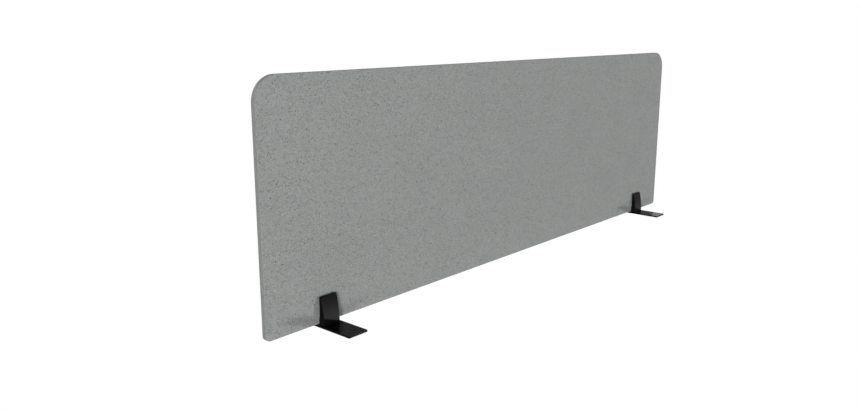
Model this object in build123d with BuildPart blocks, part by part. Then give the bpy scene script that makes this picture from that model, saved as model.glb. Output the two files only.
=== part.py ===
"""Free-standing desk privacy panel: a felt board held on edge by two slide-on feet.

Millimetres. +X runs along the board, +Y to its rear and +Z up. The origin lies on the
surface that the feet stand on, below the middle of the board.

Each foot is a steel base plate with a front and a rear moulded jaw screwed to it from
below. A U-shaped rubber shoe grips the board's lower edge and fills the slot between
the jaws, so a foot can be slid along the board, or pulled down off its shoe.
"""
import os

from build123d import *

# Felt board
board_length = 1600.0
board_height = 497.5
board_thickness = 12.0
board_top_radius = 50.0
board_bottom_radius = 10.0
board_edge_radius = 0.5

# Where each foot sits: from the board's end to the middle of the foot
left_foot_inset = 151.0
right_foot_inset = 139.0

# Base plate
plate_length = 195.0
plate_width = 50.0
plate_thickness = 4.0
plate_corner_radius = 2.0
plate_edge_radius = 0.5

# Anti-slip pads, bonded under both ends of the base plate
pad_length = 45.0
pad_side_margin = 5.0
pad_end_margin = 7.0
pad_thickness = 1.0
pad_corner_radius = 6.0

# Rubber grip shoe
shoe_wall = 1.3
shoe_web = 1.8
shoe_grip_height = 15.0
shoe_mouth_chamfer = 0.5
slide_clearance = 0.1

# Jaws
jaw_side_margin = 4.0
jaw_height = 59.0
jaw_base_depth = 13.1
jaw_top_depth = 4.7
jaw_edge_radius = 1.0
jaw_inner_edge_radius = 0.5
jaw_wall = 2.4
jaw_core_height = 34.0

# Screws and threaded inserts
screw_radius = 2.0
screw_hole_clearance = 0.25
screw_head_radius = 3.9
screw_head_clearance = 0.2
screw_seat_gap = 0.05
screw_length = 12.0
socket_across_flats = 2.5
socket_depth = 1.6
screw_side_margin = 9.0
insert_radius = 2.9
insert_length = 8.0
insert_flange_radius = 3.6
insert_flange_thickness = 0.8
insert_clearance = 0.05
insert_hole_extra_depth = 2.5
boss_height = 14.0

# Levels and places that follow from the sizes above
plate_bottom = pad_thickness
plate_top = plate_bottom + plate_thickness
shoe_bottom = plate_top + slide_clearance
board_bottom = shoe_bottom + shoe_web + slide_clearance
board_middle = board_bottom + board_height / 2
jaw_top = plate_top + jaw_height
jaw_width = plate_width - 2 * jaw_side_margin
screw_pair_spacing = jaw_width - 2 * screw_side_margin
shoe_inner_face = board_thickness / 2 + slide_clearance
shoe_outer_face = shoe_inner_face + shoe_wall
jaw_inner_face = shoe_outer_face + slide_clearance
jaw_screw_offset = jaw_inner_face + jaw_base_depth / 2
boss_radius = (jaw_base_depth - jaw_wall) / 2
foot_places = {
    "left": -board_length / 2 + left_foot_inset,
    "right": board_length / 2 - right_foot_inset,
}
jaw_facings = {"front": -1, "rear": 1}


def keep(part, node_name):
    """Label a finished piece and write its STEP file."""
    part.label = node_name
    export_step(part, f"parts/{node_name}.step")


def jaw_arc(depth, height, radius):
    """How deep a jaw section still is at a height, when its outside is an arc upright at its foot."""
    return depth - (radius - (radius**2 - height**2) ** 0.5)


def make_board():
    """The felt board: one flat sheet with large top and small bottom corners."""
    with BuildPart() as board:
        with BuildSketch(Plane.XZ) as outline:
            with Locations((0, board_middle)):
                Rectangle(board_length, board_height)
            fillet(outline.vertices().group_by(Axis.Y)[-1], board_top_radius)
            fillet(outline.vertices().group_by(Axis.Y)[0], board_bottom_radius)
        extrude(amount=board_thickness / 2, both=True)
        rims = board.edges().group_by(Axis.Y)
        fillet(rims[0] + rims[-1], board_edge_radius)
    return board.part


def make_base_plate(foot_x):
    """The flat steel plate that lies on the desk, countersunk from below for four screws."""
    with BuildPart() as plate:
        with BuildSketch(Plane.XY.offset(plate_bottom)):
            with Locations((foot_x, 0)):
                RectangleRounded(plate_width, plate_length, plate_corner_radius)
        extrude(amount=plate_thickness)
        rims = plate.edges().group_by(Axis.Z)
        fillet(rims[0] + rims[-1], plate_edge_radius)
        underside = Plane((foot_x, 0, plate_bottom), x_dir=(1, 0, 0), z_dir=(0, 0, -1))
        with Locations(underside):
            with GridLocations(screw_pair_spacing, 2 * jaw_screw_offset, 2, 2):
                CounterSinkHole(
                    screw_radius + screw_hole_clearance,
                    screw_head_radius + screw_head_clearance,
                    counter_sink_angle=90,
                )
    return plate.part


def make_jaw(foot_x, facing):
    """A moulded jaw: flat towards the board, curved outside, cored from below round two bosses."""
    inner = facing * jaw_inner_face
    taper = jaw_base_depth - jaw_top_depth
    outer_radius = (jaw_height**2 + taper**2) / (2 * taper)
    core_inner = inner + facing * jaw_wall
    core_base = inner + facing * (jaw_base_depth - jaw_wall)
    core_top_depth = jaw_arc(jaw_base_depth - jaw_wall, jaw_core_height, outer_radius - jaw_wall)
    core_top = inner + facing * core_top_depth
    core_ceiling = plate_top + jaw_core_height
    boss_places = [
        (foot_x - screw_pair_spacing / 2, facing * jaw_screw_offset),
        (foot_x + screw_pair_spacing / 2, facing * jaw_screw_offset),
    ]
    with BuildPart() as jaw:
        with BuildSketch(Plane.YZ.offset(foot_x - jaw_width / 2)):
            with BuildLine():
                base_line = Line((inner, plate_top), (inner + facing * jaw_base_depth, plate_top))
                curve = TangentArc(
                    base_line @ 1, (inner + facing * jaw_top_depth, jaw_top), tangent=(0, 1)
                )
                Polyline(curve @ 1, (inner, jaw_top), (inner, plate_top))
            make_face()
        extrude(amount=jaw_width)
        seat_edges = jaw.edges().filter_by_position(Axis.Z, plate_top, plate_top)
        inner_edges = jaw.edges().filter_by_position(Axis.Y, inner, inner)
        outer_edges = jaw.edges() - seat_edges - inner_edges
        fillet(outer_edges, jaw_edge_radius)
        fillet(jaw.edges().filter_by_position(Axis.Y, inner, inner) - seat_edges, jaw_inner_edge_radius)
        with BuildSketch(Plane.YZ.offset(foot_x - jaw_width / 2 + jaw_wall)):
            with BuildLine():
                core_line = Line((core_inner, plate_top), (core_base, plate_top))
                core_curve = TangentArc(core_line @ 1, (core_top, core_ceiling), tangent=(0, 1))
                Polyline(core_curve @ 1, (core_inner, core_ceiling), (core_inner, plate_top))
            make_face()
        extrude(amount=jaw_width - 2 * jaw_wall, mode=Mode.SUBTRACT)
        with BuildSketch(Plane.XY.offset(plate_top)):
            with Locations(*boss_places):
                Circle(boss_radius)
        extrude(amount=boss_height)
        with BuildSketch(Plane.XY.offset(plate_top)):
            with Locations(*boss_places):
                Circle(insert_radius + insert_clearance)
        extrude(amount=insert_length + insert_hole_extra_depth, mode=Mode.SUBTRACT)
        with BuildSketch(Plane.XY.offset(plate_top)):
            with Locations(*boss_places):
                Circle(insert_flange_radius + insert_clearance)
        extrude(amount=insert_flange_thickness, mode=Mode.SUBTRACT)
    return jaw.part


def make_inserts(foot_x, facing):
    """A pair of brass threaded inserts, pressed into a jaw's bosses from below."""
    with BuildPart() as inserts:
        for side in (-1, 1):
            place = (foot_x + side * screw_pair_spacing / 2, facing * jaw_screw_offset)
            with BuildSketch(Plane.XY.offset(plate_top)):
                with Locations(place):
                    Circle(insert_flange_radius)
                    Circle(screw_radius + insert_clearance, mode=Mode.SUBTRACT)
            extrude(amount=insert_flange_thickness)
            with BuildSketch(Plane.XY.offset(plate_top + insert_flange_thickness)):
                with Locations(place):
                    Circle(insert_radius)
                    Circle(screw_radius + insert_clearance, mode=Mode.SUBTRACT)
            extrude(amount=insert_length - insert_flange_thickness)
    return inserts.part


def make_screws(foot_x, facing):
    """A pair of countersunk socket screws, heads flush in the underside of the base plate."""
    head_bottom = plate_bottom + screw_head_clearance - screw_seat_gap
    head_height = screw_head_radius - screw_radius
    with BuildPart() as screws:
        for side in (-1, 1):
            place = (foot_x + side * screw_pair_spacing / 2, facing * jaw_screw_offset)
            with BuildSketch(Plane.XY.offset(head_bottom)):
                with Locations(place):
                    Circle(screw_head_radius)
            with BuildSketch(Plane.XY.offset(head_bottom + head_height)):
                with Locations(place):
                    Circle(screw_radius)
            loft()
            with BuildSketch(Plane.XY.offset(head_bottom + head_height)):
                with Locations(place):
                    Circle(screw_radius)
            extrude(amount=screw_length - head_height)
            with BuildSketch(Plane.XY.offset(head_bottom)):
                with Locations(place):
                    RegularPolygon(socket_across_flats / 2, 6, major_radius=False)
            extrude(amount=socket_depth, mode=Mode.SUBTRACT)
    return screws.part


def make_grip_shoe(foot_x):
    """The U-shaped rubber shoe: a web below the board's edge and a low wall on each side of it."""
    wall_top = board_bottom + shoe_grip_height
    with BuildPart() as shoe:
        with BuildSketch(Plane.YZ.offset(foot_x - jaw_width / 2)):
            with Locations((0, (shoe_bottom + wall_top) / 2)):
                Rectangle(2 * shoe_outer_face, wall_top - shoe_bottom)
            with Locations((0, (board_bottom - slide_clearance + wall_top) / 2)):
                Rectangle(
                    2 * shoe_inner_face,
                    wall_top - board_bottom + slide_clearance,
                    mode=Mode.SUBTRACT,
                )
        extrude(amount=jaw_width)
        mouth = shoe.edges().group_by(Axis.Z)[-1].filter_by(Axis.X).sort_by(Axis.Y)[1:3]
        chamfer(mouth, shoe_mouth_chamfer)
    return shoe.part


def make_pad(foot_x, facing):
    """A thin anti-slip pad under one end of a base plate, flush with the standing surface."""
    pad_middle = facing * (plate_length / 2 - pad_end_margin - pad_length / 2)
    with BuildPart() as pad:
        with BuildSketch(Plane.XY):
            with Locations((foot_x, pad_middle)):
                RectangleRounded(plate_width - 2 * pad_side_margin, pad_length, pad_corner_radius)
        extrude(amount=pad_thickness)
    return pad.part


os.makedirs("parts", exist_ok=True)
keep(make_board(), "felt_board")
for foot, foot_x in foot_places.items():
    keep(make_base_plate(foot_x), f"{foot}_base_plate")
    keep(make_grip_shoe(foot_x), f"{foot}_grip_shoe")
    for end, facing in jaw_facings.items():
        keep(make_jaw(foot_x, facing), f"{foot}_{end}_jaw")
        keep(make_inserts(foot_x, facing), f"{foot}_{end}_inserts")
        keep(make_screws(foot_x, facing), f"{foot}_{end}_screws")
        keep(make_pad(foot_x, facing), f"{foot}_{end}_pad")
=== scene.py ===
"""Looks of the desk privacy panel: a felt board held on edge by two slide-on feet.

Metres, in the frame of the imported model. The felt board is made here. The feet keep
their own shapes and get their finishes here.
"""
import math

import bmesh
import bpy
from mathutils import Matrix, Vector, noise


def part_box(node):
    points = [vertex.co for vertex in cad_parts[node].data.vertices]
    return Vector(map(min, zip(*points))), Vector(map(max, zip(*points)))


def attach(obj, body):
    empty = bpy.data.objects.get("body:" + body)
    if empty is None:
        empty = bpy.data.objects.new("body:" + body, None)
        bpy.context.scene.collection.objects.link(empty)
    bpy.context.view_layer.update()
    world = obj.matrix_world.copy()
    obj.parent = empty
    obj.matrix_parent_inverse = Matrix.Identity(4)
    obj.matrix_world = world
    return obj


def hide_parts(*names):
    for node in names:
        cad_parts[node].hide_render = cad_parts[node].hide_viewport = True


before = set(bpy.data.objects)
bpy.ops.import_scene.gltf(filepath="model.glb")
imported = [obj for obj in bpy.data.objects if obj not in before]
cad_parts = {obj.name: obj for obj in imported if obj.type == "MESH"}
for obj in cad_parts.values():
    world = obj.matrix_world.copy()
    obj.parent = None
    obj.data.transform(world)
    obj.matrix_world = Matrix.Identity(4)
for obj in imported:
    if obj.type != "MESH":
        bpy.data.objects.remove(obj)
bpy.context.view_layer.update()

# The axes, as places in a vector
X, Y, Z = range(3)

# Felt board: its outline and arrises
BOARD_TOP_RADIUS = 0.050
BOARD_BOTTOM_RADIUS = 0.010
BOARD_CORNER_STEPS = 14
BOARD_EDGE_ROUNDING = 0.0006
BOARD_EDGE_STEPS = 3
BOARD_RIM_BAND = 0.0018
BOARD_RIM_LAYERS = 4

# Felt board: the strips that its mesh is cut into, and the unevenness of its surface
FELT_GRID = 0.0052
FELT_CUT_SNAP = 0.0006
FELT_LUMP_SIZE = 0.016
FELT_LUMP_DEPTH = 0.00012
FELT_WAVE_SIZE = 0.110
FELT_WAVE_DEPTH = 0.00022
FELT_RIM_LUMP_SIZE = 0.004
FELT_RIM_ROUGHNESS = 0.00008
FELT_SEED = 31.7

# Felt board: how far from the middle of its thickness the cut edge gives way to the faces
FELT_EDGE_INNER = 0.0048
FELT_EDGE_OUTER = 0.0054

# Screws and inserts: how much of its brightness tarnished metal keeps
TARNISHED_SHARE = 0.72

# Studio
CAMERA_PLACE = (-1.6361, -1.1543, 0.5889)
CAMERA_LOOKS_ALONG = (0.7309, 0.6454, -0.2221)
CAMERA_LENS = 32.99
CAMERA_SENSOR_WIDTH = 36.0
FLOOR_HALF_WIDTH = 12
FLOOR_DROP = 0.09
FLOOR_TONE = 0.8
SURROUND_LIGHT = 0.12
SURROUND_SEEN = 1.0


# ---------------------------------------------------------------- mesh helpers

def parts_of(mesh):
    """Everything in a bmesh, as the operators want it."""
    return mesh.verts[:] + mesh.edges[:] + mesh.faces[:]


def renumber(elements, key):
    """Puts the vertices, edges or faces of a bmesh in the order of a key."""
    for number, element in enumerate(sorted(elements, key=key)):
        element.index = number
    elements.sort()


def number_by_place(mesh):
    """Orders vertices by their places, and edges and faces by their vertices.

    The mesh operators leave them in an order that changes from run to run.
    """
    renumber(mesh.verts, lambda v: tuple(v.co))
    renumber(mesh.edges, lambda e: sorted(v.index for v in e.verts))
    renumber(mesh.faces, lambda f: sorted(v.index for v in f.verts))


def finished_piece(mesh, name, smooth=True):
    """Turns a bmesh into a piece of the scene, with its place in its mesh."""
    bmesh.ops.recalc_face_normals(mesh, faces=mesh.faces[:])
    number_by_place(mesh)
    data = bpy.data.meshes.new(name)
    mesh.to_mesh(data)
    mesh.free()
    for face in data.polygons:
        face.use_smooth = smooth
    piece = bpy.data.objects.new(name, data)
    bpy.context.scene.collection.objects.link(piece)
    return piece


def cut_into_strips(mesh, low, high, axis, width):
    """Cuts the mesh across one axis into strips of about the given width."""
    strips = round((high[axis] - low[axis]) / width)
    normal = Vector((0, 0, 0))
    normal[axis] = 1
    for k in range(1, strips):
        place = Vector((0, 0, 0))
        place[axis] = low[axis] + (high[axis] - low[axis]) * k / strips
        bmesh.ops.bisect_plane(mesh, geom=parts_of(mesh), dist=FELT_CUT_SNAP, plane_co=place, plane_no=normal)


def round_off(mesh, edges, radius, steps):
    """Rounds edges to an arc of that radius, in that many steps."""
    bmesh.ops.bevel(mesh, geom=edges, offset=radius, segments=steps, affect="EDGES", profile=0.5, material=-1)


# ---------------------------------------------------------------- felt board

def edges_through(mesh, thickness):
    """The edges that run from the front face to the rear one."""
    return [e for e in mesh.edges if abs((e.verts[0].co - e.verts[1].co).y) > thickness / 2]


def at_bottom_corner(point, low, high):
    """True where a point lies on the lower edge and at one of the board's ends."""
    near = 1e-6
    at_an_end = point.x < low.x + near or point.x > high.x - near
    return point.z < low.z + near and at_an_end


def sawn_board(low, high):
    """A plain board with its four corners rounded, as it comes off the cutting table."""
    mesh = bmesh.new()
    size = high - low
    place = Matrix.Translation((low + high) / 2) @ Matrix.Diagonal((*size, 1))
    bmesh.ops.create_cube(mesh, size=1, matrix=place)
    middle = (low.z + high.z) / 2
    top_corners = [e for e in edges_through(mesh, size.y) if e.verts[0].co.z > middle]
    round_off(mesh, top_corners, BOARD_TOP_RADIUS, BOARD_CORNER_STEPS)
    bottom_corners = [e for e in edges_through(mesh, size.y) if at_bottom_corner(e.verts[0].co, low, high)]
    round_off(mesh, bottom_corners, BOARD_BOTTOM_RADIUS, BOARD_CORNER_STEPS // 2)
    return mesh


def broad_faces(mesh):
    """The front face and the rear one: square to Y, with the whole outline round them."""
    square_on, box_corners = 0.999, 8
    return [f for f in mesh.faces if abs(f.normal.y) > square_on and len(f.verts) > box_corners]


def soften_arrises(mesh):
    """Rounds the front and rear arrises and adds a narrow band inside each."""
    arrises = [e for f in broad_faces(mesh) for e in f.edges]
    round_off(mesh, arrises, BOARD_EDGE_ROUNDING, BOARD_EDGE_STEPS)
    bmesh.ops.inset_individual(mesh, faces=broad_faces(mesh), thickness=BOARD_RIM_BAND)


def layer_rim(mesh, low, high):
    """Cuts the rim into layers through the thickness."""
    inner_low = low + Vector((0, BOARD_EDGE_ROUNDING, 0))
    inner_high = high - Vector((0, BOARD_EDGE_ROUNDING, 0))
    depth = (inner_high.y - inner_low.y) / BOARD_RIM_LAYERS
    cut_into_strips(mesh, inner_low, inner_high, Y, depth)


def lumps(place, size, shift):
    """Noise from 0 to 1 at a place, with lumps of about that size."""
    return 0.5 + 0.5 * noise.noise(place / size + shift)


def press_relief(mesh):
    """Sinks the faces and the rim by the shallow unevenness of pressed felt."""
    mesh.normal_update()
    seed = Vector((FELT_SEED, 0, 0))
    moves = []
    for v in mesh.verts:
        lump = lumps(v.co, FELT_LUMP_SIZE, seed)
        wave = lumps(v.co, FELT_WAVE_SIZE, -seed)
        edge = lumps(v.co, FELT_RIM_LUMP_SIZE, seed)
        face_part = abs(v.normal.y)
        depth = face_part * (lump * FELT_LUMP_DEPTH + wave * FELT_WAVE_DEPTH)
        depth += (1 - face_part) * edge * FELT_RIM_ROUGHNESS
        moves.append((v, v.normal * -depth))
    for v, move in moves:
        v.co += move


def make_felt_board():
    """The whole board in one piece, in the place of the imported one."""
    low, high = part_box("felt_board")
    mesh = sawn_board(low, high)
    soften_arrises(mesh)
    layer_rim(mesh, low, high)
    cut_into_strips(mesh, low, high, X, FELT_GRID)
    cut_into_strips(mesh, low, high, Z, FELT_GRID)
    press_relief(mesh)
    piece = finished_piece(mesh, "felt_board_pressed")
    piece.data.materials.append(pressed_felt())
    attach(piece, "panel")
    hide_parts("felt_board")


# ---------------------------------------------------------------- finishes

def new_finish(name):
    """An empty node material, its tree and its shader."""
    finish = bpy.data.materials.new(name)
    finish.use_nodes = True
    tree = finish.node_tree
    shader = tree.nodes["Principled BSDF"]
    return finish, tree, shader


def hook_up(tree, shader, tone, roughness, normal, specular):
    """Joins a finish's tone, roughness and bump to its shader, and sets how much it shines."""
    tree.links.new(tone, shader.inputs["Base Color"])
    tree.links.new(roughness, shader.inputs["Roughness"])
    tree.links.new(normal, shader.inputs["Normal"])
    shader.inputs["Specular IOR Level"].default_value = specular


def grey(tone):
    """An opaque grey of that tone."""
    return (tone, tone, tone, 1)


def node(tree, kind):
    """Adds a shader node of a kind."""
    return tree.nodes.new("ShaderNode" + kind)


def own_places(tree, scale=(1, 1, 1)):
    """The piece's own coordinates, stretched by scale."""
    places = node(tree, "TexCoord")
    stretch = node(tree, "Mapping")
    stretch.inputs["Scale"].default_value = scale
    tree.links.new(places.outputs["Object"], stretch.inputs["Vector"])
    return stretch.outputs["Vector"]


def noise_of(tree, places, per_metre, detail=2.0, roughness=0.5):
    """Soft noise with about this many lumps to a metre."""
    made = node(tree, "TexNoise")
    made.inputs["Scale"].default_value = per_metre
    made.inputs["Detail"].default_value = detail
    made.inputs["Roughness"].default_value = roughness
    tree.links.new(places, made.inputs["Vector"])
    return made.outputs["Fac"]


def spread(tree, value, taken, given=(0.0, 1.0), kind="LINEAR"):
    """Stretches the range taken from a value to the range given back, and holds it there."""
    made = node(tree, "MapRange")
    made.interpolation_type = kind
    made.inputs["From Min"].default_value, made.inputs["From Max"].default_value = taken
    made.inputs["To Min"].default_value, made.inputs["To Max"].default_value = given
    tree.links.new(value, made.inputs["Value"])
    return made.outputs["Result"]


def maths(tree, operation, a, b):
    """One sum on two values, each a number or a socket."""
    made = node(tree, "Math")
    made.operation = operation
    for socket, value in zip(made.inputs, (a, b)):
        if isinstance(value, (int, float)):
            socket.default_value = value
        else:
            tree.links.new(value, socket)
    return made.outputs[0]


def blended(tree, share, first, second):
    """A colour between two, each a colour or a socket."""
    made = node(tree, "Mix")
    made.data_type = "RGBA"
    tree.links.new(share, made.inputs[0])
    for socket, value in ((made.inputs[6], first), (made.inputs[7], second)):
        if isinstance(value, tuple):
            socket.default_value = value
        else:
            tree.links.new(value, socket)
    return made.outputs[2]


def raised(tree, height, distance, strength=1.0, onto=None):
    """A bump from a height map, distance metres high at most, on its own or on top of another."""
    made = node(tree, "Bump")
    made.inputs["Distance"].default_value = distance
    made.inputs["Strength"].default_value = strength
    tree.links.new(height, made.inputs["Height"])
    if onto is not None:
        tree.links.new(onto, made.inputs["Normal"])
    return made.outputs["Normal"]


def fibres(tree, turn, per_metre, length_to_width):
    """One lay of fibres: noise drawn out along a line at the given turn in the board's face."""
    places = node(tree, "TexCoord")
    turned = node(tree, "Mapping")
    turned.inputs["Rotation"].default_value = (0, math.radians(turn), 0)
    tree.links.new(places.outputs["Object"], turned.inputs["Vector"])
    drawn = node(tree, "Mapping")
    drawn.inputs["Scale"].default_value = (1 / length_to_width, 1, 1)
    tree.links.new(turned.outputs["Vector"], drawn.inputs["Vector"])
    return noise_of(tree, drawn.outputs["Vector"], per_metre, detail=1.0)


def flecks(tree, places, per_metre, radius, share):
    """Scattered spots: 1 in the middle of a spot and 0 outside. share is how many cells have one."""
    cells = node(tree, "TexVoronoi")
    cells.inputs["Scale"].default_value = per_metre
    cells.inputs["Randomness"].default_value = 1.0
    tree.links.new(places, cells.inputs["Vector"])
    dot = spread(tree, cells.outputs["Distance"], (radius * 0.35, radius), (1.0, 0.0), "SMOOTHSTEP")
    split = node(tree, "SeparateColor")
    tree.links.new(cells.outputs["Color"], split.inputs["Color"])
    chosen = spread(tree, split.outputs["Red"], (1 - share, 1.0))
    return maths(tree, "MULTIPLY", dot, chosen)


def ruffled(tree, places, per_metre, amount):
    """The same coordinates pushed about by noise, so that round spots come out ragged."""
    push = node(tree, "TexNoise")
    push.inputs["Scale"].default_value = per_metre
    push.inputs["Detail"].default_value = 2.0
    tree.links.new(places, push.inputs["Vector"])
    centred = node(tree, "VectorMath")
    centred.operation = "SUBTRACT"
    centred.inputs[1].default_value = (0.5, 0.5, 0.5)
    tree.links.new(push.outputs["Color"], centred.inputs[0])
    moved = node(tree, "VectorMath")
    moved.operation = "MULTIPLY_ADD"
    moved.inputs[1].default_value = (amount, amount, amount)
    tree.links.new(centred.outputs["Vector"], moved.inputs[0])
    tree.links.new(places, moved.inputs[2])
    return moved.outputs["Vector"]


def crossed_fibres(tree, turns, per_metre, length_to_width):
    """Several lays of fibres, one across another."""
    lays = [fibres(tree, turn, per_metre, length_to_width) for turn in turns]
    return maths(tree, "MAXIMUM", maths(tree, "MAXIMUM", lays[0], lays[1]), lays[2])


def pressed_felt():
    """Light grey needle felt: mixed fibres, a fine mottle, ragged dark flecks, and cut edges with pressed
    layers and painted shade that darkens them.
    """
    finish, tree, shader = new_finish("pressed_felt")
    places = own_places(tree, (1, 2.2, 1))
    ragged = ruffled(tree, places, per_metre=420, amount=0.0062)
    mottle = noise_of(tree, places, per_metre=460, detail=2.0, roughness=0.65)
    patches = noise_of(tree, places, per_metre=190, detail=1.0)
    cloud = noise_of(tree, places, per_metre=9, detail=2.0)
    large_flecks = flecks(tree, ragged, per_metre=200, radius=0.39, share=0.60)
    small_flecks = flecks(tree, ragged, per_metre=330, radius=0.42, share=0.65)
    light_fibres = crossed_fibres(tree, (12, 71, 133), per_metre=2600, length_to_width=18)
    dark_fibres = crossed_fibres(tree, (38, 104, 165), per_metre=1900, length_to_width=14)
    cut_edge, layers = felt_edge(tree)
    dark_ground, light_ground = (0.146, 0.153, 0.148, 1), (0.297, 0.311, 0.300, 1)
    patch_grey, cloud_grey = (0.118, 0.124, 0.120, 1), (0.152, 0.159, 0.154, 1)
    dark_fibre, light_fibre = (0.090, 0.094, 0.091, 1), (0.355, 0.370, 0.358, 1)
    large_fleck, small_fleck = (0.050, 0.052, 0.051, 1), (0.073, 0.077, 0.074, 1)
    # The cut-edge greys are darker than the faces. This is painted shade on the ends, top and bottom of the
    # board, laid over the pressed layers.
    shaded_dark_layer, shaded_light_layer = (0.132, 0.137, 0.133, 1), (0.203, 0.211, 0.204, 1)
    tone = blended(tree, spread(tree, mottle, (0.37, 0.63)), dark_ground, light_ground)
    tone = blended(tree, spread(tree, patches, (0.36, 0.64), (0.22, 0)), tone, patch_grey)
    tone = blended(tree, spread(tree, dark_fibres, (0.60, 0.78), (0, 0.6)), tone, dark_fibre)
    tone = blended(tree, spread(tree, light_fibres, (0.50, 0.80)), tone, light_fibre)
    tone = blended(tree, spread(tree, large_flecks, (0, 1), (0, 0.85)), tone, large_fleck)
    tone = blended(tree, spread(tree, small_flecks, (0, 1), (0, 0.52)), tone, small_fleck)
    tone = blended(tree, spread(tree, cloud, (0.3, 0.7), (0, 0.05)), tone, cloud_grey)
    shaded_edge_tone = blended(tree, spread(tree, layers, (0.35, 0.65)), shaded_dark_layer, shaded_light_layer)
    # Painted shade: the cut edge is blended 60 % towards the darker layered greys.
    tone = blended(tree, spread(tree, cut_edge, (0, 1), (0, 0.6)), tone, shaded_edge_tone)
    roughness = spread(tree, light_fibres, (0.4, 0.8), (0.98, 0.88))
    normal = raised(tree, mottle, distance=0.0006, strength=0.5)
    normal = raised(tree, light_fibres, distance=0.00025, strength=0.6, onto=normal)
    sunk = maths(tree, "SUBTRACT", 1.0, large_flecks)
    normal = raised(tree, sunk, distance=0.0004, strength=0.5, onto=normal)
    edge_layers = maths(tree, "MULTIPLY", layers, cut_edge)
    normal = raised(tree, edge_layers, distance=0.0003, strength=0.6, onto=normal)
    hook_up(tree, shader, tone, roughness, normal, specular=0.08)
    shader.inputs["Sheen Weight"].default_value = 0.04
    shader.inputs["Sheen Roughness"].default_value = 0.6
    return finish


def felt_edge(tree):
    """Where the cut edge shows between the two faces, and the pressed layers along it."""
    places = node(tree, "TexCoord")
    split = node(tree, "SeparateXYZ")
    tree.links.new(places.outputs["Object"], split.inputs["Vector"])
    from_middle = maths(tree, "ABSOLUTE", split.outputs["Y"], 0.0)
    cut_edge = spread(tree, from_middle, (FELT_EDGE_INNER, FELT_EDGE_OUTER), (1.0, 0.0), "SMOOTHSTEP")
    layers = noise_of(tree, own_places(tree, (0.05, 1, 0.05)), per_metre=1400, detail=1.0)
    return cut_edge, layers


def powder_coat():
    """Smooth black powder coat with a fine orange peel and a slight haze in its gloss."""
    finish, tree, shader = new_finish("black_powder_coat")
    places = own_places(tree)
    peel = noise_of(tree, places, per_metre=420, detail=1.0)
    haze = noise_of(tree, places, per_metre=55, detail=3.0, roughness=0.6)
    black, hazy_black = (0.0014, 0.0014, 0.0015, 1), (0.0040, 0.0040, 0.0041, 1)
    tone = blended(tree, spread(tree, haze, (0.3, 0.7)), black, hazy_black)
    roughness = spread(tree, haze, (0.3, 0.75), (0.16, 0.24))
    normal = raised(tree, peel, distance=0.00010, strength=0.5)
    hook_up(tree, shader, tone, roughness, normal, specular=0.10)
    return finish


def moulded_nylon():
    """Black moulded nylon with a fine spark-eroded grain."""
    finish, tree, shader = new_finish("moulded_black_nylon")
    grain = noise_of(tree, own_places(tree), per_metre=1900, detail=2.0, roughness=0.6)
    flow = noise_of(tree, own_places(tree, (1, 1, 0.35)), per_metre=60, detail=2.0)
    black, paler_black = (0.0026, 0.0026, 0.0027, 1), (0.0044, 0.0044, 0.0045, 1)
    tone = blended(tree, spread(tree, flow, (0.3, 0.7)), black, paler_black)
    roughness = spread(tree, grain, (0.3, 0.7), (0.34, 0.46))
    normal = raised(tree, grain, distance=0.00016, strength=0.6)
    hook_up(tree, shader, tone, roughness, normal, specular=0.045)
    return finish


def soft_rubber(name, dark, pale):
    """Matt black rubber with a dull bloom, between a dark tone and a pale one."""
    finish, tree, shader = new_finish(name)
    places = own_places(tree)
    grain = noise_of(tree, places, per_metre=1300, detail=3.0, roughness=0.6)
    bloom = noise_of(tree, places, per_metre=90, detail=2.0)
    tone = blended(tree, spread(tree, bloom, (0.3, 0.7)), grey(dark), grey(pale))
    roughness = spread(tree, grain, (0.3, 0.7), (0.72, 0.88))
    normal = raised(tree, grain, distance=0.0001, strength=0.5)
    hook_up(tree, shader, tone, roughness, normal, specular=0.25)
    return finish


def turned_metal(name, bright, roughness):
    """Turned metal with fine tool rings, tarnished here and there."""
    finish, tree, shader = new_finish(name)
    places = own_places(tree)
    rings = noise_of(tree, own_places(tree, (0.2, 0.2, 4.0)), per_metre=2500, detail=1.0)
    tarnish = noise_of(tree, places, per_metre=400, detail=3.0)
    tarnished = tuple(c * TARNISHED_SHARE for c in bright)
    tone = blended(tree, spread(tree, tarnish, (0.3, 0.7)), tarnished + (1,), bright + (1,))
    dulled = spread(tree, rings, (0.3, 0.7), (roughness - 0.06, roughness + 0.08))
    normal = raised(tree, rings, distance=0.00002, strength=0.4)
    hook_up(tree, shader, tone, dulled, normal, specular=0.5)
    shader.inputs["Metallic"].default_value = 1.0
    return finish


def finish_feet():
    """Gives each carried-over part of the feet its finish."""
    finishes = {
        "base_plate": powder_coat(),
        "jaw": moulded_nylon(),
        "grip_shoe": soft_rubber("shoe_rubber", dark=0.008, pale=0.013),
        "pad": soft_rubber("pad_rubber", dark=0.016, pale=0.024),
        "screws": turned_metal("black_oxide_steel", bright=(0.055, 0.055, 0.06), roughness=0.36),
        "inserts": turned_metal("turned_brass", bright=(0.72, 0.53, 0.24), roughness=0.26),
    }
    for name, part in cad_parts.items():
        for ending, finish in finishes.items():
            if name.endswith(ending):
                part.data.materials.clear()
                part.data.materials.append(finish)


# ---------------------------------------------------------------- studio

def make_camera():
    """A camera low at the left front, looking along the board."""
    data = bpy.data.cameras.new("camera")
    data.lens = CAMERA_LENS
    data.sensor_width = CAMERA_SENSOR_WIDTH
    data.clip_start = 0.05
    data.clip_end = 100
    camera = bpy.data.objects.new("camera", data)
    camera.location = CAMERA_PLACE
    camera.rotation_euler = Vector(CAMERA_LOOKS_ALONG).to_track_quat("-Z", "Y").to_euler()
    bpy.context.scene.collection.objects.link(camera)
    bpy.context.scene.camera = camera


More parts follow.
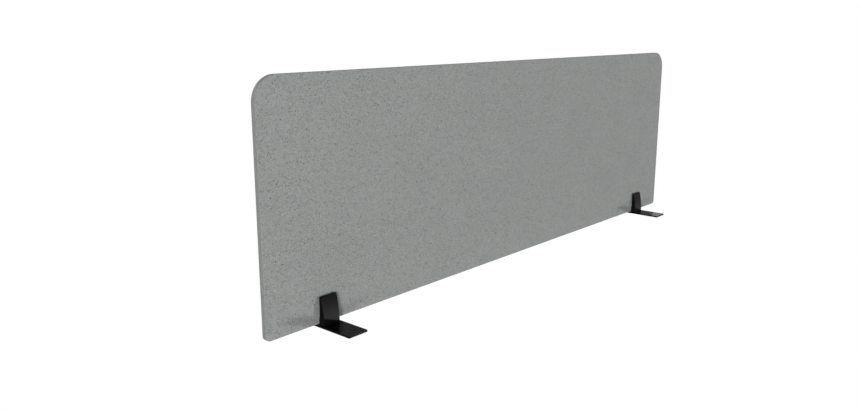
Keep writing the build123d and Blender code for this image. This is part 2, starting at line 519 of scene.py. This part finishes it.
def make_floor():
    """A pale floor that only gives light back, low enough to clear a foot that is pulled off."""
    mesh = bmesh.new()
    bmesh.ops.create_grid(mesh, x_segments=1, y_segments=1, size=FLOOR_HALF_WIDTH)
    bmesh.ops.translate(mesh, verts=mesh.verts[:], vec=(0, 0, -FLOOR_DROP))
    floor = finished_piece(mesh, "floor", smooth=False)
    finish, _, shader = new_finish("pale_floor")
    shader.inputs["Base Color"].default_value = grey(FLOOR_TONE)
    shader.inputs["Roughness"].default_value = 1.0
    shader.inputs["Specular IOR Level"].default_value = 0.0
    floor.data.materials.append(finish)
    floor.visible_shadow = False
    floor.visible_camera = False


def standing_at(azimuth, elevation):
    """Direction to a light. Azimuth is in degrees to the right of square-on to the board's front."""
    turn, rise = math.radians(azimuth), math.radians(elevation)
    return Vector((math.sin(turn) * math.cos(rise), -math.cos(turn) * math.cos(rise), math.sin(rise)))


def hung_light(name, data, towards, away):
    """Hangs a light in that direction, turned to the object, where only its light is seen."""
    light = bpy.data.objects.new(name, data)
    light.location = towards * away
    light.rotation_euler = towards.to_track_quat("Z", "Y").to_euler()
    light.visible_camera = False
    bpy.context.scene.collection.objects.link(light)


def soft_sun(name, azimuth, elevation, softness, strength):
    """A soft light so far off that it falls evenly along the board."""
    data = bpy.data.lights.new(name, "SUN")
    data.angle = math.radians(softness)
    data.energy = strength
    hung_light(name, data, standing_at(azimuth, elevation), 1.0)


def soft_panel(name, azimuth, elevation, away, width, watts):
    """A soft square light that falls off a little along the board."""
    data = bpy.data.lights.new(name, "AREA")
    data.size = width
    data.energy = watts
    hung_light(name, data, standing_at(azimuth, elevation), away)


def make_studio():
    """A white surround, dim as a lamp, with lights at the left, low at both sides and behind."""
    world = bpy.data.worlds.new("studio")
    bpy.context.scene.world = world
    world.use_nodes = True
    tree = world.node_tree
    background = tree.nodes["Background"]
    background.inputs["Color"].default_value = (1, 1, 1, 1)
    path = node(tree, "LightPath")
    seen = maths(tree, "MAXIMUM", path.outputs["Is Camera Ray"], path.outputs["Is Glossy Ray"])
    tree.links.new(spread(tree, seen, (0, 1), (SURROUND_LIGHT, SURROUND_SEEN)), background.inputs["Strength"])
    soft_panel("key_left", azimuth=-58, elevation=8, away=14.0, width=1.5, watts=1460)
    soft_sun("low_right", azimuth=45, elevation=-14, softness=6, strength=1.39)
    soft_sun("low_left", azimuth=-46, elevation=-12, softness=5, strength=0.65)
    soft_sun("rear", azimuth=184, elevation=22, softness=20, strength=2.8)
    bpy.context.scene.view_settings.view_transform = "Standard"


make_felt_board()
finish_feet()
make_camera()
make_floor()
make_studio()
